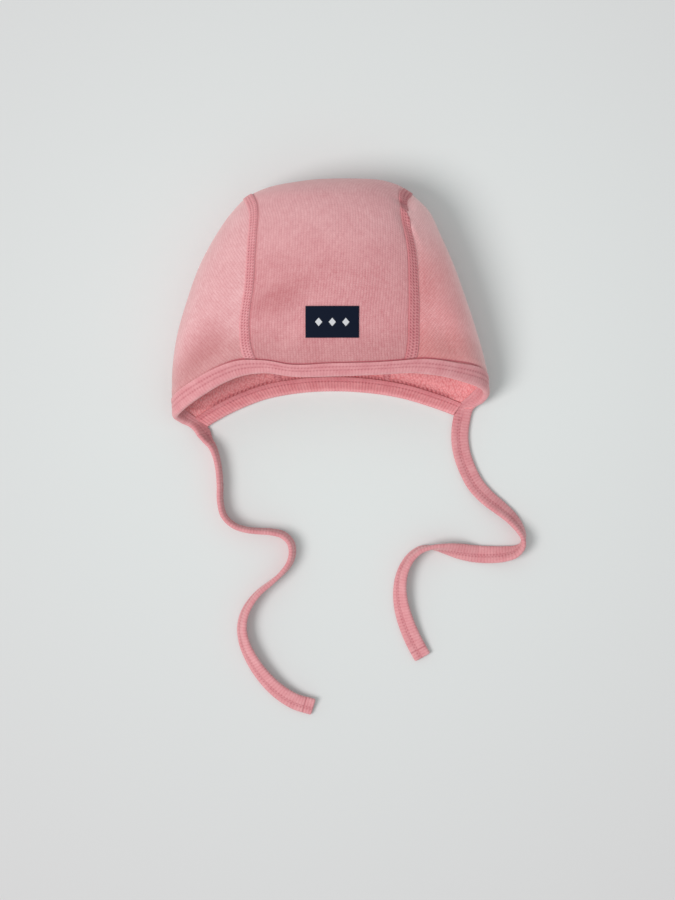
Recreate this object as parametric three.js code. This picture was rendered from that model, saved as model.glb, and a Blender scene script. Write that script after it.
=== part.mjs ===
// A baby's helmet hat of knitted cotton, lying on its back: a middle panel from forehead to nape,
// two side panels, a folded rib binding round the opening, and the binding's ends as two ties.
// Millimetres, +Z up. The crown points to +Y, the face opening to -Y, and the nape lies on z = 0.
// Left and right are those of someone who looks down on it with the crown away from them.
import * as THREE from "three";
import { mergeVertices } from "three/addons/utils/BufferGeometryUtils.js";

const wall = 1.6; // knitted cloth
const ribLayer = 1.2; // one leg of the folded rib, itself two layers
const gap = 0.3; // between neighbouring pieces
const bandWidth = 11; // the binding as seen from outside
const edgeInset = 2.8; // cloth edge behind the binding's fold
const tieThickness = 3; // the same rib, folded and stitched flat
const labelSize = { width: 32.4, height: 19, thickness: 0.8, x: 0.7, y: -11.2 };
const legRise = gap + ribLayer; // how far the binding stands out from the cloth
const crownToEdge = 165; // along the cloth, on average
const [liftStart, liftEnd] = [0.84, 0.91]; // where the nape rises from the surface to its binding
const courseFade = 3; // power by which the free edge's course fades towards the crown
const dentRim = 0.5; // height over the folds, as a share of the top's, from which dents are full
const tieClearance = 0.1; // under the ties' lower edge

// Cross-sections of the hat from its crown to its free edge. share: distance from the crown over
// the whole. along: place on Y. middle, half: centre and half of the width. fold: height of the
// side folds. rise: from there up to the top. base: height of the underside. corner: how fast
// the side turns under, 1 for a half round. The first row mirrors the third, which rounds the crown,
// and the last lies past the edge.
const sections = [
  { share: -0.144, along: 77.3, middle: 7.5, half: -26.5, fold: 27.5, rise: -11, base: 38, corner: 1.3 },
  { share: 0, along: 77.9, middle: 9, half: 0, fold: 28, rise: 0, base: 28, corner: 1.1 },
  { share: 0.144, along: 77.3, middle: 7.5, half: 26.5, fold: 27.5, rise: 11, base: 18, corner: 1.3 },
  { share: 0.198, along: 74, middle: 3, half: 40.5, fold: 26, rise: 20.5, base: 11, corner: 1.5 },
  { share: 0.25, along: 68.8, middle: 0.1, half: 50.5, fold: 24.5, rise: 29.5, base: 5, corner: 1.8 },
  { share: 0.32, along: 59.5, middle: -0.3, half: 60.7, fold: 22, rise: 38, base: 0, corner: 2.1 },
  { share: 0.41, along: 45.3, middle: -1.95, half: 69.55, fold: 20, rise: 43.8, base: 0, corner: 2.3 },
  { share: 0.52, along: 26.6, middle: -3.05, half: 78.95, fold: 18, rise: 47, base: 0, corner: 2.4 },
  { share: 0.64, along: 4.8, middle: -3.35, half: 86.95, fold: 17, rise: 47.5, base: 0, corner: 2.4 },
  { share: 0.77, along: -17, middle: -3.1, half: 93.6, fold: 16, rise: 45, base: 0, corner: 2.4 },
  { share: 0.89, along: -39, middle: -1.6, half: 97.75, fold: 15, rise: 40, base: 0, corner: 2.4 },
  { share: 1, along: -60.3, middle: -0.1, half: 97.8, fold: 14, rise: 33.5, base: 0, corner: 2.3 },
  { share: 1.12, along: -83.5, middle: 0.6, half: 97, fold: 13.5, rise: 28, base: 0, corner: 2.3 },
];
const shoulder = 0.06; // fullness of the top arch over a plain ellipse

// The free edge by its angle round the opening: 0 at the right fold, 90 at the forehead,
// 180 at the left fold and 270 at the nape.
const faceEdge = [
  { angle: -40, along: -88 },
  { angle: -29.4, along: -73 },
  { angle: -25.6, along: -67.9 },
  { angle: -19, along: -62.6 },
  { angle: -6.5, along: -57.5 },
  { angle: 5, along: -54.2 },
  { angle: 17, along: -51.1 },
  { angle: 31.7, along: -47.6 },
  { angle: 47.6, along: -43.6 },
  { angle: 60, along: -42.1 },
  { angle: 73, along: -43.1 },
  { angle: 89, along: -44.2 },
  { angle: 103.6, along: -44.4 },
  { angle: 114.8, along: -42.2 },
  { angle: 124.7, along: -44.2 },
  { angle: 131.6, along: -47.8 },
  { angle: 141.9, along: -54.4 },
  { angle: 151.3, along: -59.9 },
  { angle: 163.5, along: -65.6 },
  { angle: 180, along: -69.2 },
  { angle: 201, along: -74.4 },
  { angle: 209.6, along: -79.7 },
  { angle: 216, along: -86 },
  { angle: 226, along: -96 },
];
const napeEdge = [
  { angle: 219.6, along: -72.9 },
  { angle: 227, along: -67.9 },
  { angle: 236, along: -62.2 },
  { angle: 245, along: -57.3 },
  { angle: 256, along: -53.8 },
  { angle: 268, along: -52.2 },
  { angle: 282.7, along: -53.1 },
  { angle: 295.4, along: -56.1 },
  { angle: 309.6, along: -61.9 },
  { angle: 321, along: -66.9 },
];
const earTips = { left: -73.7, right: -66.5 }; // where the side panels end, on Y

// The bindings' ends: angle at their outer and at their inner edge.
const faceEnds = { right: { outer: -25.6, inner: -28.9 }, left: { outer: 210.1, inner: 212.3 } };
const napeEnds = { left: { outer: 220.5, inner: 219 }, right: { outer: 320.2, inner: 321 } };

// The seams between the panels: angle across the hat, 0 at the right ear and 180 at the left,
// by their way from the nape (-1) over the crown (0) to the forehead (1).
const seams = [
  { way: -1, left: 109, right: 69 },
  { way: -0.5, left: 105, right: 74 },
  { way: 0, left: 103, right: 78 },
  { way: 0.27, left: 103.6, right: 75.6 },
  { way: 0.37, left: 105.3, right: 71.6 },
  { way: 0.56, left: 108.3, right: 68.7 },
  { way: 0.78, left: 113.8, right: 65.5 },
  { way: 0.87, left: 115.5, right: 64.6 },
  { way: 1, left: 116, right: 64.5 },
];

// Dents in the top: place, size along and across their own direction, turn from +X, depth.
const dents = [
  { x: 46.8, y: 62.6, length: 6.5, breadth: 4, turn: 75, depth: 3.6 },
  { x: 44.5, y: 50, length: 12, breadth: 3, turn: -68, depth: 1.4 },
  { x: 48.6, y: 49.5, length: 12, breadth: 2.4, turn: -62, depth: -0.9 },
  { x: -12, y: 30, length: 26, breadth: 12, turn: 15, depth: 1.2 },
  { x: -74, y: -28, length: 18, breadth: 9, turn: 50, depth: 2 },
  { x: 72, y: -22, length: 22, breadth: 8, turn: -62, depth: 1.4 },
  { x: -18, y: -34, length: 24, breadth: 8, turn: -8, depth: 1.2 },
  { x: -24, y: -12, length: 20, breadth: 8, turn: 50, depth: 1.2 },
];

// The ties from the ear tips to their free ends. roll: 0 lies flat as it leaves the binding,
// 90 stands on edge with the wearer-side edge down, 180 lies flat the other way up.
const leftTie = [
  { x: -79.4, y: -78.8, roll: 28 },
  { x: -77.4, y: -82.6, roll: 60 },
  { x: -75, y: -86, roll: 72 },
  { x: -72.5, y: -92, roll: 79 },
  { x: -70.9, y: -99.5, roll: 82 },
  { x: -69.9, y: -110, roll: 83 },
  { x: -69.6, y: -122, roll: 83 },
  { x: -67.5, y: -130, roll: 83 },
  { x: -61.8, y: -136, roll: 84 },
  { x: -54.2, y: -138.9, roll: 84 },
  { x: -46, y: -139.9, roll: 83 },
  { x: -38, y: -140.4, roll: 81 },
  { x: -30.4, y: -142.3, roll: 78 },
  { x: -25.6, y: -147, roll: 77 },
  { x: -24.4, y: -153.3, roll: 78 },
  { x: -26.2, y: -160, roll: 81 },
  { x: -31, y: -166.3, roll: 86 },
  { x: -38, y: -172.5, roll: 93 },
  { x: -45.4, y: -178.5, roll: 98 },
  { x: -51.2, y: -185.6, roll: 105 },
  { x: -54.9, y: -193.2, roll: 111 },
  { x: -56.1, y: -200.8, roll: 116 },
  { x: -55, y: -208.8, roll: 121 },
  { x: -50.4, y: -219.7, roll: 130 },
  { x: -42.3, y: -231.6, roll: 141 },
  { x: -32.3, y: -241.3, roll: 151 },
  { x: -22.1, y: -247.4, roll: 159 },
  { x: -11.2, y: -250.6, roll: 166 },
];
const rightTie = [
  { x: 82.3, y: -68.4, roll: 0 },
  { x: 81.2, y: -75, roll: 0 },
  { x: 80.9, y: -81, roll: 0 },
  { x: 82.3, y: -91.5, roll: 1 },
  { x: 85.6, y: -101, roll: 4 },
  { x: 90.6, y: -110.6, roll: 10 },
  { x: 97.9, y: -118.8, roll: 23 },
  { x: 106.2, y: -125.6, roll: 37 },
  { x: 113, y: -131.6, roll: 49 },
  { x: 118, y: -138, roll: 63 },
  { x: 120.5, y: -143.8, roll: 80 },
  { x: 120, y: -149, roll: 99 },
  { x: 115.7, y: -152.8, roll: 124 },
  { x: 108.5, y: -154.4, roll: 149 },
  { x: 99.8, y: -154.8, roll: 168 },
  { x: 90.5, y: -154.3, roll: 183 },
  { x: 81.5, y: -152.8, roll: 206 },
  { x: 72.2, y: -151, roll: 238 },
  { x: 63.4, y: -150.2, roll: 266 },
  { x: 56.4, y: -151.5, roll: 282 },
  { x: 50.8, y: -155.5, roll: 290 },
  { x: 46.7, y: -161.3, roll: 296 },
  { x: 44.1, y: -168.3, roll: 303 },
  { x: 43.1, y: -176.5, roll: 312 },
  { x: 43.8, y: -185.5, roll: 323 },
  { x: 46.2, y: -195, roll: 335 },
  { x: 50, y: -205, roll: 345 },
  { x: 54.6, y: -214.2, roll: 352 },
  { x: 57.6, y: -219.4, roll: 355 },
];

// How finely the walls are faceted.
const facets = { way: 34, middle: 12, side: 12, face: 66, nape: 18, leg: 3, turn: 4, tie: 50, fold: 4 };
const walkSteps = 4; // in which the binding's width is walked over the cloth
const slopeStep = 0.004; // on the disc, either way, to find the cloth's slopes
const newtonSteps = 8;
const weldDistance = 1e-4;

const degrees = Math.PI / 180;
const edgePlane = sections.find((row) => row.share === 1).along;

// A column of a table, on a smooth curve through its rows and straight on past its ends.
function read(rows, key, column, at) {
  const last = rows.length - 1;
  const rise = (k) => (rows[k + 1][column] - rows[k][column]) / (rows[k + 1][key] - rows[k][key]);
  if (at <= rows[0][key]) {
    return rows[0][column] + rise(0) * (at - rows[0][key]);
  }
  if (at >= rows[last][key]) {
    return rows[last][column] + rise(last - 1) * (at - rows[last][key]);
  }
  const slope = (k) => {
    if (k === 0 || k === last) {
      return rise(Math.min(k, last - 1));
    }
    const before = rows[k][key] - rows[k - 1][key];
    const after = rows[k + 1][key] - rows[k][key];
    return (rise(k - 1) * after + rise(k) * before) / (before + after);
  };
  const low = rows.findIndex((row, k) => k < last && at <= rows[k + 1][key]);
  const span = rows[low + 1][key] - rows[low][key];
  const u = (at - rows[low][key]) / span;
  const start = (2 * u ** 3 - 3 * u ** 2 + 1) * rows[low][column];
  const end = (3 * u ** 2 - 2 * u ** 3) * rows[low + 1][column];
  const bend = (u ** 3 - 2 * u ** 2 + u) * slope(low) + (u ** 3 - u ** 2) * slope(low + 1);
  return start + end + span * bend;
}

// Where the free edge lies on Y at an angle round the opening: along the face binding, along
// the nape binding, and as the cloth between them is cut, square at the ear tips.
function faceAlong(angle) {
  return read(faceEdge, "angle", "along", angle > 230 ? angle - 360 : angle);
}

function napeAlong(angle) {
  return read(napeEdge, "angle", "along", angle < 90 ? angle + 360 : angle);
}

function clothAlong(angle) {
  if (angle > -10 && angle < 190) {
    return faceAlong(angle);
  }
  const tip = angle > 90 && angle < 230 ? earTips.left : earTips.right;
  const nearNape = angle > 230 || angle < -60;
  return nearNape ? napeAlong(angle) : Math.max(faceAlong(angle), napeAlong(angle), tip);
}

// How deep the dents are at a place in plan.
function dentDepth(x, y) {
  return dents.reduce((depth, row) => {
    const [cos, sin] = [Math.cos(row.turn * degrees), Math.sin(row.turn * degrees)];
    const along = ((x - row.x) * cos + (y - row.y) * sin) / row.length;
    const across = ((y - row.y) * cos - (x - row.x) * sin) / row.breadth;
    return depth + row.depth * Math.exp(-along * along - across * across);
  }, 0);
}

// A point of the cloth's outer face. side and way are its place on a disc seen from the crown,
// whose rim is the free edge: side from the left fold (-1) to the right, way from the nape (-1)
// to the forehead.
function facePoint(side, way, edgeAlong) {
  const share = Math.hypot(side, way);
  const angle = Math.atan2(way, side) / degrees;
  const turn = angle < -90 ? angle + 360 : angle;
  const fromFold = Math.min(Math.abs(angle), 180 - Math.abs(angle)) * degrees;
  const row = (column) => read(sections, "share", column, share);
  const x = row("middle") + row("half") * Math.cos(angle * degrees);
  const y = row("along") + (edgeAlong(turn) - edgePlane) * share ** courseFade;
  if (way < 0) {
    const under = Math.sin(Math.min(Math.PI / 2, fromFold * row("corner")));
    const base = Math.max(0, row("base")) + legRise * THREE.MathUtils.smoothstep(share, liftStart, liftEnd);
    return new THREE.Vector3(x, y, THREE.MathUtils.lerp(row("fold"), base, under));
  }
  const fullness = shoulder * Math.min(share, 1);
  const arch = (Math.sin(fromFold) + fullness * Math.sin(3 * fromFold)) / (1 - fullness);
  const dented = dentDepth(x, y) * Math.min(1, arch / dentRim);
  return new THREE.Vector3(x, y, row("fold") + row("rise") * arch - dented);
}

// The cloth's slopes at a place on the disc: how a point moves with side and with way.
function faceSlopes(side, way, edgeAlong) {
  const slope = (s, w) =>
    facePoint(side + s, way + w, edgeAlong)
      .sub(facePoint(side - s, way - w, edgeAlong))
      .divideScalar(2 * slopeStep);
  return [slope(slopeStep, 0), slope(0, slopeStep)];
}

function faceNormal(side, way, edgeAlong) {
  const [across, up] = faceSlopes(side, way, edgeAlong);
  return up.cross(across).normalize();
}

// A wall: a thin box whose corners a function places, given each corner's share of the width,
// height and depth. Triangles that collapse where its sides meet in a point are left out.
function bentWall(columns, rows, place) {
  const box = new THREE.BoxGeometry(1, 1, 1, columns, rows, 1);
  box.deleteAttribute("normal");
  box.deleteAttribute("uv");
  box.clearGroups();
  const corners = box.getAttribute("position");
  for (let i = 0; i < corners.count; i += 1) {
    const placed = place(corners.getX(i) + 0.5, corners.getY(i) + 0.5, corners.getZ(i) + 0.5);
    corners.setXYZ(i, placed.x, placed.y, placed.z);
  }
  const welded = mergeVertices(box, weldDistance);
  const index = Array.from(welded.index.array);
  const kept = [];
  for (let i = 0; i < index.length; i += 3) {
    const [a, b, c] = index.slice(i, i + 3);
    if (a !== b && b !== c && c !== a) {
      kept.push(a, b, c);
    }
  }
  welded.setIndex(kept);
  welded.computeVertexNormals();
  return welded;
}

// A panel of cloth between two angles across the hat, each a function of the way.
function panel(columns, fromAngle, toAngle) {
  const reach = 1 - edgeInset / crownToEdge;
  return bentWall(columns, facets.way, (across, along, depth) => {
    const way = 2 * along - 1;
    const angle = THREE.MathUtils.lerp(fromAngle(way), toAngle(way), across) * degrees;
    const side = Math.cos(angle) * reach;
    const height = way * Math.sin(angle) * reach;
    const normal = faceNormal(side, height, clothAlong);
    return facePoint(side, height, clothAlong).addScaledVector(normal, (depth - 1) * wall);
  });
}

// Seam angles, moved apart by half the gap.
function seamAngle(column, towards) {
  const halfGap = gap / 2 / sections.find((row) => row.share === 1).half / degrees;
  return (way) => read(seams, "way", column, way) + towards * halfGap;
}

// The binding's section, from the edge of its outer leg round the cloth to that of its inner
// leg: distance in from the free edge, height off the cloth, and the direction of its outside.
function bandSection(share) {
  const steps = 2 * facets.leg + facets.turn;
  const step = share * steps;
  const middleRadius = wall / 2 + gap + ribLayer / 2;
  const outerRadius = middleRadius + ribLayer / 2;
  const turned = THREE.MathUtils.clamp((step - facets.leg) / facets.turn, 0, 1) * Math.PI;
  const leg = Math.max(0, facets.leg - step, step - facets.leg - facets.turn) / facets.leg;
  return {
    inward: outerRadius - middleRadius * Math.sin(turned) + leg * (bandWidth - outerRadius),
    height: middleRadius * Math.cos(turned) - wall / 2,
    facing: { inward: -Math.sin(turned), height: Math.cos(turned) },
  };
}

// A point at a distance straight in from the free edge, walked over the cloth in short steps,
// and at a height off it.
function bandPoint(turn, inward, height, edgeAlong) {
  const rim = (angle) => [Math.cos(angle * degrees), Math.sin(angle * degrees)];
  const tangent = facePoint(...rim(turn + 1), edgeAlong).sub(facePoint(...rim(turn - 1), edgeAlong));
  let [side, way] = rim(turn);
  const heading = tangent.cross(faceNormal(side, way, edgeAlong)).normalize();
  for (let step = 0; step < walkSteps; step += 1) {
    const [right, up] = faceSlopes(side, way, edgeAlong);
    const normal = up.clone().cross(right);
    const stride = inward / walkSteps / normal.length();
    normal.normalize();
    heading.addScaledVector(normal, -heading.dot(normal)).normalize();
    side += stride * up.clone().cross(heading).dot(normal);
    way += stride * heading.clone().cross(right).dot(normal);
  }
  return facePoint(side, way, edgeAlong).addScaledVector(faceNormal(side, way, edgeAlong), height);
}

// A length of binding between two ends, each cut on a slant from its outer to its inner edge.
function band(columns, from, to, edgeAlong) {
  return bentWall(columns, 2 * facets.leg + facets.turn, (along, round, depth) => {
    const section = bandSection(round);
    const inward = section.inward + (depth - 0.5) * ribLayer * section.facing.inward;
    const height = section.height + (depth - 0.5) * ribLayer * section.facing.height;
    const across = inward / bandWidth;
    const start = THREE.MathUtils.lerp(from.outer, from.inner, across);
    const end = THREE.MathUtils.lerp(to.outer, to.inner, across);
    return bandPoint(THREE.MathUtils.lerp(start, end, along), inward, height, edgeAlong);
  });
}

// The place on the disc of a point of the top, by Newton's steps from halfway up it.
function placeOnTop(x, y) {
  let [side, way] = [0, 0.5];
  for (let turn = 0; turn < newtonSteps; turn += 1) {
    const here = facePoint(side, way, clothAlong);
    const [across, up] = faceSlopes(side, way, clothAlong);
    const scale = across.x * up.y - across.y * up.x;
    side += ((x - here.x) * up.y - (y - here.y) * up.x) / scale;
    way += ((y - here.y) * across.x - (x - here.x) * across.y) / scale;
  }
  return [side, way];
}

function labelWall() {
  return bentWall(8, 4, (across, along, depth) => {
    const x = labelSize.x + (across - 0.5) * labelSize.width;
    const y = labelSize.y + (along - 0.5) * labelSize.height;
    const place = placeOnTop(x, y);
    const normal = faceNormal(...place, clothAlong);
    return facePoint(...place, clothAlong).addScaledVector(normal, gap + depth * labelSize.thickness);
  });
}

// A tie's middle line. Its frames turn with the roll column, and its height lets the lower
// edge lie on the surface.
class TieRoute extends THREE.CatmullRomCurve3 {
  constructor(rows) {
    const reach = (bandWidth - tieThickness) / 2;
    const height = (roll) => reach * Math.abs(Math.sin(roll * degrees)) + tieThickness / 2 + tieClearance;
    super(rows.map((row) => new THREE.Vector3(row.x, row.y, height(row.roll))));
    this.rolls = rows.map((row, step) => ({ step, roll: row.roll }));
  }

  computeFrenetFrames(segments) {
    const frames = { tangents: [], normals: [], binormals: [] };
    for (let i = 0; i <= segments; i += 1) {
      const share = this.getUtoTmapping(i / segments);
      const roll = read(this.rolls, "step", "roll", share * (this.rolls.length - 1)) * degrees;
      const tangent = this.getTangent(share);
      const rightHand = new THREE.Vector3(tangent.y, -tangent.x, 0).normalize();
      const normal = rightHand.multiplyScalar(Math.cos(roll));
      normal.z = Math.sin(roll);
      normal.addScaledVector(tangent, -normal.dot(tangent)).normalize();
      frames.tangents.push(tangent);
      frames.normals.push(normal);
      frames.binormals.push(tangent.clone().cross(normal));
    }
    return frames;
  }
}

// The tie's section: flat, with a half-round fold along each edge.
function tieSection() {
  const radius = tieThickness / 2;
  const reach = bandWidth / 2 - radius;
  const corners = [];
  for (const end of [1, -1]) {
    for (let k = 0; k <= facets.fold; k += 1) {
      const angle = (k / facets.fold - 0.5) * Math.PI;
      const x = end * (reach + radius * Math.cos(angle));
      corners.push(new THREE.Vector2(x, end * radius * Math.sin(angle)));
    }
  }
  return new THREE.Shape(corners);
}

function tie(rows) {
  const extruded = new THREE.ExtrudeGeometry(tieSection(), {
    steps: facets.tie,
    extrudePath: new TieRoute(rows),
  });
  extruded.deleteAttribute("normal");
  extruded.deleteAttribute("uv");
  extruded.clearGroups();
  const welded = mergeVertices(extruded, weldDistance);
  welded.computeVertexNormals();
  return welded;
}

function piece(name, geometry, color, roughness) {
  const mesh = new THREE.Mesh(geometry, new THREE.MeshStandardMaterial({ color, roughness, metalness: 0 }));
  mesh.name = name;
  return mesh;
}

const rightEar = () => 0;
const leftEar = () => 180;
const hat = new THREE.Group();
hat.add(
  piece("centre_panel", panel(facets.middle, seamAngle("right", 1), seamAngle("left", -1)), "#d9979b", 0.9),
  piece("side_panel_left", panel(facets.side, seamAngle("left", 1), leftEar), "#e2aab0", 0.9),
  piece("side_panel_right", panel(facets.side, rightEar, seamAngle("right", -1)), "#cf9094", 0.9),
  piece("front_binding", band(facets.face, faceEnds.right, faceEnds.left, faceAlong), "#d48d91", 0.85),
  piece("nape_binding", band(facets.nape, napeEnds.left, napeEnds.right, napeAlong), "#cb7f83", 0.85),
  piece("tie_left", tie(leftTie), "#db8e93", 0.85),
  piece("tie_right", tie(rightTie), "#db8e93", 0.85),
  piece("label", labelWall(), "#1a2536", 0.8),
);

export default hat;
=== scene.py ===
import math

import bmesh
import bpy
import numpy as np
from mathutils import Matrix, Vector


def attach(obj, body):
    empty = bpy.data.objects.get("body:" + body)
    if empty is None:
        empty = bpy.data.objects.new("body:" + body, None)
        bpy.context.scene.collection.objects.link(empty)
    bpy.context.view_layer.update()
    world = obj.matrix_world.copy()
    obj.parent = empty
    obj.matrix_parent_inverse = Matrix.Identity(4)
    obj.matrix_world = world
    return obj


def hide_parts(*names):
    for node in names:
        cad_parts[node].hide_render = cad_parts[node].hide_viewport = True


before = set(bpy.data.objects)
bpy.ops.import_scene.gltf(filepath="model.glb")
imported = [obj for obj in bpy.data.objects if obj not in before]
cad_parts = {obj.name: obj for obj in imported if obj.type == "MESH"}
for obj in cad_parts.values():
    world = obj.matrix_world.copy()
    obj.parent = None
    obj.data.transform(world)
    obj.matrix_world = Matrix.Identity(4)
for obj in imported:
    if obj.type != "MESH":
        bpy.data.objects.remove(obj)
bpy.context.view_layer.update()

# ---- Surface, light and camera ----
# The hat lies on a matt pale board and is seen from straight above. One soft window-like light
# stands high on its left, and the white room round it fills the shade.


def linear(colour):
    """An sRGB hex colour as linear red, green, blue and alpha."""
    shares = [int(colour[k : k + 2], 16) / 255 for k in (1, 3, 5)]
    return [c / 12.92 if c <= 0.04045 else ((c + 0.055) / 1.055) ** 2.4 for c in shares] + [1.0]


def add_node(tree, kind, inputs=None, **settings):
    """A node with its settings. An input is a value, or the output of another node to link."""
    node = tree.nodes.new(kind)
    for name, value in settings.items():
        setattr(node, name, value)
    for socket, value in (inputs or {}).items():
        if isinstance(value, bpy.types.NodeSocket):
            tree.links.new(value, node.inputs[socket])
        else:
            node.inputs[socket].default_value = value
    return node


def new_material(name):
    """An empty material of that name, and its node tree."""
    material = bpy.data.materials.new(name)
    material.use_nodes = True
    material.node_tree.nodes.clear()
    return material, material.node_tree


# Painted board: matt and even. Its colour is a little darker towards its rim, painted shade where the
# light falls off, and a little greener near the hat, painted against the pink light that the hat bounces
# onto it.
painted_board, tree = new_material("painted_board")
place = add_node(tree, "ShaderNodeTexCoord")
middle = add_node(
    tree, "ShaderNodeVectorMath", {0: place.outputs["Object"], 1: (0.0, 0.03, 0.0)}, operation="ADD"
)
reach = add_node(tree, "ShaderNodeVectorMath", {0: middle.outputs[0]}, operation="LENGTH")
spread = add_node(
    tree, "ShaderNodeMapRange", {"Value": reach.outputs["Value"], "From Min": 0.03, "From Max": 0.4}
)
falloff_shade = add_node(tree, "ShaderNodeMath", {0: spread.outputs[0], 1: 0.6}, operation="POWER")
tint = add_node(
    tree,
    "ShaderNodeMix",
    {"Factor": falloff_shade.outputs[0], 6: linear("#e9f0ef"), 7: linear("#d8d7d8")},
    data_type="RGBA",
)
paint = add_node(
    tree,
    "ShaderNodeBsdfPrincipled",
    {"Base Color": tint.outputs[2], "Roughness": 0.85, "Specular IOR Level": 0.2},
)
add_node(tree, "ShaderNodeOutputMaterial", {"Surface": paint.outputs[0]})

bm = bmesh.new()
bmesh.ops.create_grid(bm, x_segments=1, y_segments=1, size=4.0)
board_mesh = bpy.data.meshes.new("board")
bm.to_mesh(board_mesh)
bm.free()
board_mesh.materials.append(painted_board)
board = bpy.data.objects.new("board", board_mesh)
bpy.context.scene.collection.objects.link(board)

room = bpy.data.worlds.new("room")
room.use_nodes = True
room.node_tree.nodes.clear()
fill = add_node(room.node_tree, "ShaderNodeBackground", {"Color": linear("#f7fffe"), "Strength": 0.575})
add_node(room.node_tree, "ShaderNodeOutputWorld", {"Surface": fill.outputs[0]})
bpy.context.scene.world = room

window = bpy.data.lights.new("window", "AREA")
window.shape = "DISK"
window.size = 4.0
window.energy = 343.0
window.color = (1.06, 0.99, 0.985)
window_light = bpy.data.objects.new("window", window)
hat_middle = Vector((0.0, -0.06, 0.02))
to_window = Vector((-0.72, -0.25, 1.0)).normalized()
window_away = 8.0
window_light.location = hat_middle + window_away * to_window
window_light.rotation_euler = to_window.to_track_quat("Z", "Y").to_euler()
bpy.context.scene.collection.objects.link(window_light)

camera = bpy.data.cameras.new("camera")
camera.sensor_fit = "VERTICAL"
camera.sensor_height = 36.0
camera.lens = 101.6
camera_object = bpy.data.objects.new("camera", camera)
camera_object.location = (0.0039, -0.089, 1.6)
bpy.context.scene.collection.objects.link(camera_object)
bpy.context.scene.camera = camera_object
bpy.context.scene.view_settings.view_transform = "Standard"

# ---- Centre panel ----
# A strip of brushed cotton knit from the forehead over the crown to the nape, smooth outside and
# looped inside, sewn to a side panel along each edge. All the cloth lies on one form, which the
# tables below give in millimetres.

MM = 0.001
WALL = 1.6  # knitted cloth
RIB_LAYER = 1.2  # one leg of the folded rib
GAP = 0.3  # between the cloth and the binding
EDGE_INSET = 2.8  # cloth edge behind the binding's fold
CROWN_TO_EDGE = 165.0  # measured over the cloth
LEG_RISE = GAP + RIB_LAYER
LIFT = (0.84, 0.91)  # share where the nape rises to its binding
EDGE_POWER = 3  # how late the cloth takes up the line of its free edge
DENT_RIM = 0.5  # dents fade out below this share of the top's height
SHOULDER = 0.06  # how much squarer than an arc the top is
SLOPE_STEP = 0.004  # step that slopes of the form are measured over

# Cross sections from behind the crown to past the free edge: the share of the way, place on Y,
# middle and half width on X, height of the side folds, rise of the top over them, height of the
# underside, and how square its corners are.
SECTIONS = [
    (-0.144, 77.3, 7.5, -26.5, 27.5, -11, 38, 1.3),
    (0, 77.9, 9, 0, 28, 0, 28, 1.1),
    (0.144, 77.3, 7.5, 26.5, 27.5, 11, 18, 1.3),
    (0.198, 74, 3, 40.5, 26, 20.5, 11, 1.5),
    (0.25, 68.8, 0.1, 50.5, 24.5, 29.5, 5, 1.8),
    (0.32, 59.5, -0.3, 60.7, 22, 38, 0, 2.1),
    (0.41, 45.3, -1.95, 69.55, 20, 43.8, 0, 2.3),
    (0.52, 26.6, -3.05, 78.95, 18, 47, 0, 2.4),
    (0.64, 4.8, -3.35, 86.95, 17, 47.5, 0, 2.4),
    (0.77, -17, -3.1, 93.6, 16, 45, 0, 2.4),
    (0.89, -39, -1.6, 97.75, 15, 40, 0, 2.4),
    (1, -60.3, -0.1, 97.8, 14, 33.5, 0, 2.3),
    (1.12, -83.5, 0.6, 97, 13.5, 28, 0, 2.3),
]
EDGE_PLANE = -60.3  # place on Y of the section at share 1

# The free edge: its angle round the opening (0 right fold, 90 forehead, 180 left fold, 270 nape)
# and its place on Y.
FACE_EDGE = [
    (-40, -88),
    (-29.4, -73),
    (-25.6, -67.9),
    (-19, -62.6),
    (-6.5, -57.5),
    (5, -54.2),
    (17, -51.1),
    (31.7, -47.6),
    (47.6, -43.6),
    (60, -42.1),
    (73, -43.1),
    (89, -44.2),
    (103.6, -44.4),
    (114.8, -42.2),
    (124.7, -44.2),
    (131.6, -47.8),
    (141.9, -54.4),
    (151.3, -59.9),
    (163.5, -65.6),
    (180, -69.2),
    (201, -74.4),
    (209.6, -79.7),
    (216, -85),
    (226, -96),
]
NAPE_EDGE = [
    (219.6, -72.9),
    (227, -67.9),
    (236, -62.2),
    (245, -57.3),
    (256, -53.8),
    (268, -52.2),
    (282.7, -53.1),
    (295.4, -56.1),
    (309.6, -61.9),
    (321, -66.9),
]
EAR_TIPS = (-73.7, -66.5)  # left and right, on Y
FACE_FROM, FACE_TO = -10, 190  # angles between which the face edge alone counts
NAPE_TO, NAPE_FROM = -60, 230  # and outside which the nape's does

# Dents in the top, and folds that stand up, which have a negative depth: x, y, length, breadth,
# turn from +X, depth.
DENTS = [
    (46.8, 62.6, 6.5, 4, 75, 3.6),
    (44.5, 50, 12, 3, -68, 1.4),
    (48.8, 49.6, 12, 2.3, -63, -0.9),
    (-12, 30, 26, 12, 15, 1.2),
    (-80, -28, 18, 9, 52, 2.4),
    (72, -22, 22, 8, -62, 1.4),
    (-18, -34, 24, 8, -8, 1.2),
    (-24, -12, 20, 8, 50, 1.2),
    (43.5, 61.5, 6, 1.7, -35, 2.2),
    (45.5, 58.5, 8, 2.6, -35, -1.1),
]

# Seams between the panels: way from nape (-1) over the crown to forehead (1), angle of the left
# and of the right one.
SEAMS = [
    (-1, 109, 69),
    (-0.5, 105, 74),
    (0, 104.3, 78),
    (0.27, 104, 76),
    (0.37, 105.3, 72.3),
    (0.56, 108.3, 67.9),
    (0.78, 113.8, 64.5),
    (0.87, 115.5, 63.6),
    (1, 116, 63.6),
]


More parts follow.
